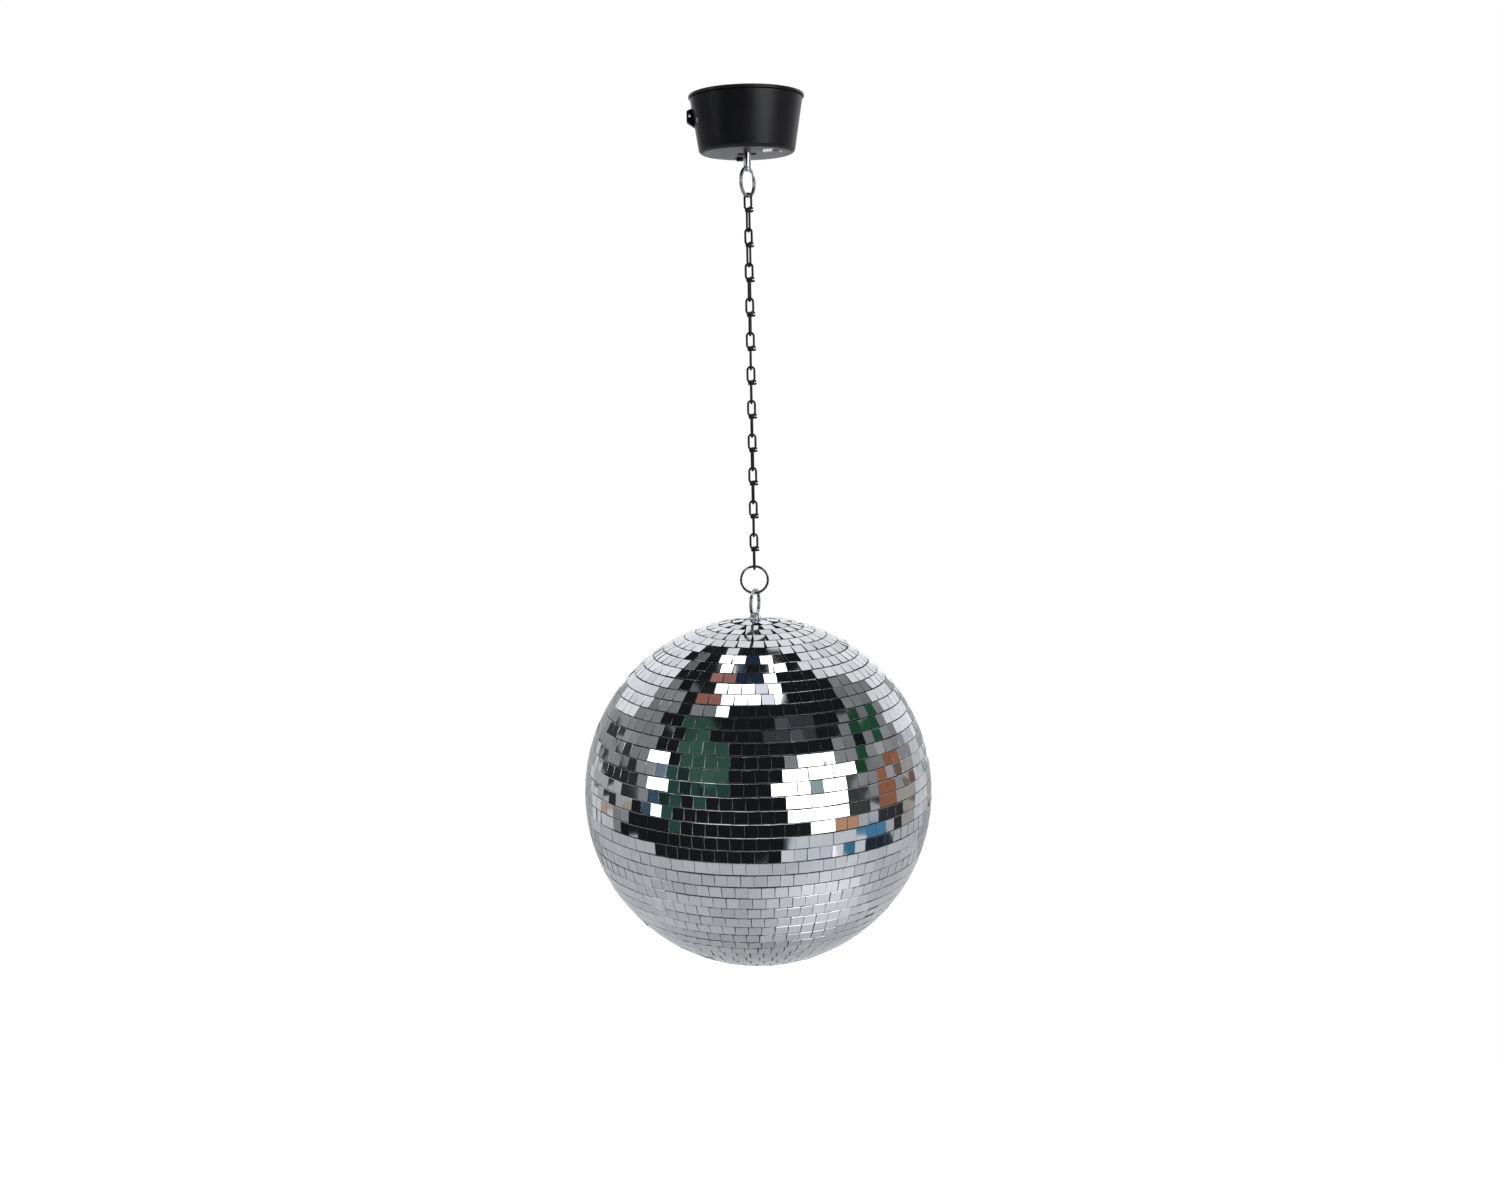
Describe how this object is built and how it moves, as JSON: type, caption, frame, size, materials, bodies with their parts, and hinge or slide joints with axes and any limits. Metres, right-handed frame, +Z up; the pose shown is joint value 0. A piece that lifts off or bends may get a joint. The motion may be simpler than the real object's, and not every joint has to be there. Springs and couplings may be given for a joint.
{
  "type": "mirror ball",
  "caption": "Mirror ball of square glass tiles hanging by split rings and a knotted wire chain from a battery turning motor fixed to the ceiling.",
  "frame": {"origin": "middle of the ceiling plate's upper face, which goes flat against the ceiling", "axes": "+Z up along the hanging line; +X to the right and +Y away when the slide switch is behind the shaft"},
  "size_m": [0.3, 0.3, 0.7311],
  "materials": {
    "black_plastic": "fine matt moulded grain",
    "grey_plastic": "plain moulded",
    "zinc": "bright zinc plate",
    "steel": "ground and bright",
    "ring_steel": "nickel plated spring wire",
    "bronze": "plain turned",
    "nylon": "natural nylon",
    "black_wire": "black lacquered steel wire",
    "mirror_glass": "silvered glass tiles",
    "cell_sleeve": "printed-free plastic sleeve",
    "board": "lacquered circuit board",
    "red_lens": "clear red epoxy",
    "amber_lens": "clear amber epoxy",
    "white_label": "plain glossy card",
    "black_insulation": "soft PVC",
    "red_insulation": "soft PVC"
  },
  "bodies": {
    "motor_body": {"housing": "black_plastic", "ceiling_plate": "black_plastic", "lock_screw": "zinc", "gear_plate": "steel", "plate_screw_1": "zinc", "plate_screw_2": "zinc", "plate_screw_3": "zinc", "lower_bush": "bronze", "plate_bush": "bronze", "thrust_washer": "nylon", "gear_axle": "steel", "motor_gearbox": "grey_plastic", "motor_can": "steel", "battery_tray": "grey_plastic", "cell_1": "cell_sleeve", "cell_2": "cell_sleeve", "contact_spring_1": "zinc", "contact_spring_2": "zinc", "contact_tab": "zinc", "contact_link": "zinc", "switch_body": "grey_plastic", "led_board": "board", "led_red": "red_lens", "led_amber": "amber_lens", "label_plate": "white_label", "lead_battery_switch": "black_insulation", "lead_switch_motor": "red_insulation", "lead_motor_battery": "black_insulation", "lead_led": "black_insulation"},
    "turning_shaft": {"output_shaft": "steel", "output_gear": "nylon", "gear_pin": "steel", "shaft_circlip": "steel"},
    "cluster": {"cluster_gear": "nylon"},
    "pinion": {"motor_pinion": "bronze"},
    "switch": {"switch_knob": "black_plastic"},
    "upper_ring": {"upper_ring": "ring_steel"},
    "link_1": {"chain_link_1": "black_wire"},
    "link_2": {"chain_link_2": "black_wire"},
    "link_3": {"chain_link_3": "black_wire"},
    "link_4": {"chain_link_4": "black_wire"},
    "link_5": {"chain_link_5": "black_wire"},
    "link_6": {"chain_link_6": "black_wire"},
    "link_7": {"chain_link_7": "black_wire"},
    "link_8": {"chain_link_8": "black_wire"},
    "link_9": {"chain_link_9": "black_wire"},
    "link_10": {"chain_link_10": "black_wire"},
    "link_11": {"chain_link_11": "black_wire"},
    "lower_ring": {"lower_ring": "ring_steel"},
    "ball_ring": {"ball_ring": "ring_steel"},
    "ball": {"eye_bolt": "zinc", "pole_cap": "zinc", "backing_plate": "zinc", "eye_nut": "zinc", "upper_shell": "grey_plastic", "lower_shell": "grey_plastic", "upper_mirrors": "mirror_glass", "lower_mirrors": "mirror_glass", "joining_ring": "grey_plastic", "bottom_plug": "grey_plastic"}
  },
  "joints": [
    {"name": "shaft_spin", "type": "hinge", "parent": "motor_body", "child": "turning_shaft", "pos_m": [0, 0, -0.046], "axis": [0, 0, 1], "continuous": true},
    {"name": "cluster_spin", "type": "hinge", "parent": "motor_body", "child": "cluster", "pos_m": [-0.01559, -0.009, -0.036], "axis": [0, 0, 1], "continuous": true},
    {"name": "pinion_spin", "type": "hinge", "parent": "motor_body", "child": "pinion", "pos_m": [-0.00424, -0.01787, -0.033], "axis": [0, 0, 1], "continuous": true},
    {"name": "switch_slide", "type": "slide", "parent": "motor_body", "child": "switch", "axis": [1, 0, 0], "range_m": [0, 0.004]},
    {"name": "upper_ring_swing", "type": "hinge", "parent": "turning_shaft", "child": "upper_ring", "pos_m": [0, 0, -0.057], "axis": [0.4695, 0.8829, 0], "range_deg": [-20, 20]},
    {"name": "link_1_swing", "type": "hinge", "parent": "upper_ring", "child": "link_1", "pos_m": [0, 0, -0.07745], "axis": [0.9272, -0.3746, 0], "range_deg": [-8, 8]},
    {"name": "link_2_swing", "type": "hinge", "parent": "link_1", "child": "link_2", "pos_m": [0, 0, -0.10765], "axis": [0.3746, 0.9272, 0], "range_deg": [-8, 8]},
    {"name": "link_3_swing", "type": "hinge", "parent": "link_2", "child": "link_3", "pos_m": [0, 0, -0.13345], "axis": [0.9703, -0.2419, 0], "range_deg": [-8, 8]},
    {"name": "link_4_swing", "type": "hinge", "parent": "link_3", "child": "link_4", "pos_m": [0, 0, -0.16365], "axis": [0.2419, 0.9703, 0], "range_deg": [-8, 8]},
    {"name": "link_5_swing", "type": "hinge", "parent": "link_4", "child": "link_5", "pos_m": [0, 0, -0.18945], "axis": [0.9994, -0.0349, 0], "range_deg": [-8, 8]},
    {"name": "link_6_swing", "type": "hinge", "parent": "link_5", "child": "link_6", "pos_m": [0, 0, -0.21965], "axis": [0.0349, 0.9994, 0], "range_deg": [-8, 8]},
    {"name": "link_7_swing", "type": "hinge", "parent": "link_6", "child": "link_7", "pos_m": [0, 0, -0.24545], "axis": [0.9925, 0.1219, 0], "range_deg": [-8, 8]},
    {"name": "link_8_swing", "type": "hinge", "parent": "link_7", "child": "link_8", "pos_m": [0, 0, -0.27565], "axis": [-0.1219, 0.9925, 0], "range_deg": [-8, 8]},
    {"name": "link_9_swing", "type": "hinge", "parent": "link_8", "child": "link_9", "pos_m": [0, 0, -0.30145], "axis": [0.9877, 0.1564, 0], "range_deg": [-8, 8]},
    {"name": "link_10_swing", "type": "hinge", "parent": "link_9", "child": "link_10", "pos_m": [0, 0, -0.33165], "axis": [-0.1564, 0.9877, 0], "range_deg": [-8, 8]},
    {"name": "link_11_swing", "type": "hinge", "parent": "link_10", "child": "link_11", "pos_m": [0, 0, -0.35745], "axis": [0.9962, 0.0872, 0], "range_deg": [-8, 8]},
    {"name": "lower_ring_swing", "type": "hinge", "parent": "link_11", "child": "lower_ring", "pos_m": [0, 0, -0.38765], "axis": [-0.0872, 0.9962, 0], "range_deg": [-15, 15]},
    {"name": "ball_ring_swing", "type": "hinge", "parent": "lower_ring", "child": "ball_ring", "pos_m": [0, 0, -0.4081], "axis": [1, 0, 0], "range_deg": [-15, 15]},
    {"name": "ball_swing", "type": "hinge", "parent": "ball_ring", "child": "ball", "pos_m": [0, 0, -0.4283], "axis": [0.309, 0.9511, 0], "range_deg": [-15, 15]}
  ],
  "couplings": [
    {"joint": "cluster_spin", "follows": "shaft_spin", "ratio": -4},
    {"joint": "pinion_spin", "follows": "shaft_spin", "ratio": 12}
  ]
}
